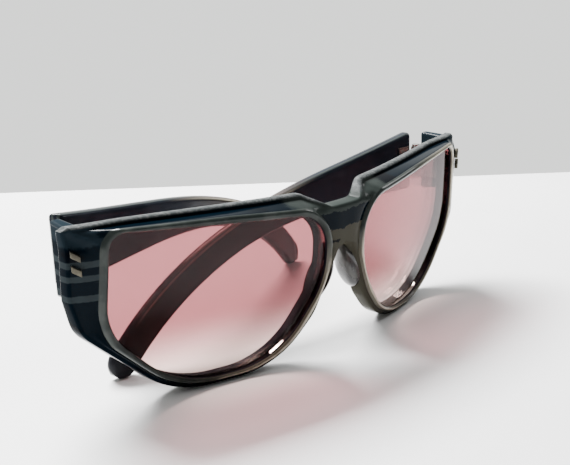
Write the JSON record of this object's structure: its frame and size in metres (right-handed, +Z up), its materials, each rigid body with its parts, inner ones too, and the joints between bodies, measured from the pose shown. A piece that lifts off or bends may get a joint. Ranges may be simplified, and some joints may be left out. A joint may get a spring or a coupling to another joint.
{
  "type": "folded sunglasses",
  "caption": "Large flat-topped plastic sunglasses lying folded, with rose tinted lenses, a raised bead round each lens, deep hinge ends, barrel hinges and curved temples.",
  "frame": {"origin": "centre of the bounding box seen from above, at the level of the surface that the folded glasses rest on", "axes": "+X towards the wearer's left, along the front; +Y from the front towards the folded temples; +Z up"},
  "size_m": [0.143, 0.0688, 0.0455],
  "materials": {
    "front_plastic": "polished, dark navy with clear grey layers",
    "temple_plastic": "polished, dark with a brown clear tail",
    "lens_tint": "polished, rose tint that fades downwards",
    "pad_plastic": "clear grey, polished",
    "hinge_metal": "satin",
    "shield_metal": "satin, warm"
  },
  "bodies": {
    "front": {"front_frame": "front_plastic", "right_lens": "lens_tint", "left_lens": "lens_tint", "right_nose_pad": "pad_plastic", "left_nose_pad": "pad_plastic", "right_front_leaf": "hinge_metal", "left_front_leaf": "hinge_metal", "right_hinge_screw": "hinge_metal", "left_hinge_screw": "hinge_metal", "right_front_rivets": "hinge_metal", "left_front_rivets": "hinge_metal", "right_shields": "shield_metal", "left_shields": "shield_metal"},
    "right_temple": {"right_temple": "temple_plastic", "right_temple_leaf": "hinge_metal", "right_temple_rivets": "hinge_metal"},
    "left_temple": {"left_temple": "temple_plastic", "left_temple_leaf": "hinge_metal", "left_temple_rivets": "hinge_metal"}
  },
  "joints": [
    {"name": "right_hinge", "type": "hinge", "parent": "front", "child": "right_temple", "pos_m": [-0.0645, -0.00617, 0.0364], "axis": [0, 0, 1], "range_deg": [0, 77.5]},
    {"name": "left_hinge", "type": "hinge", "parent": "front", "child": "left_temple", "pos_m": [0.0645, -0.00617, 0.0364], "axis": [0, 0, -1], "range_deg": [0, 86]}
  ],
  "couplings": [
    {"joint": "left_hinge", "follows": "right_hinge", "ratio": 1.109}
  ]
}
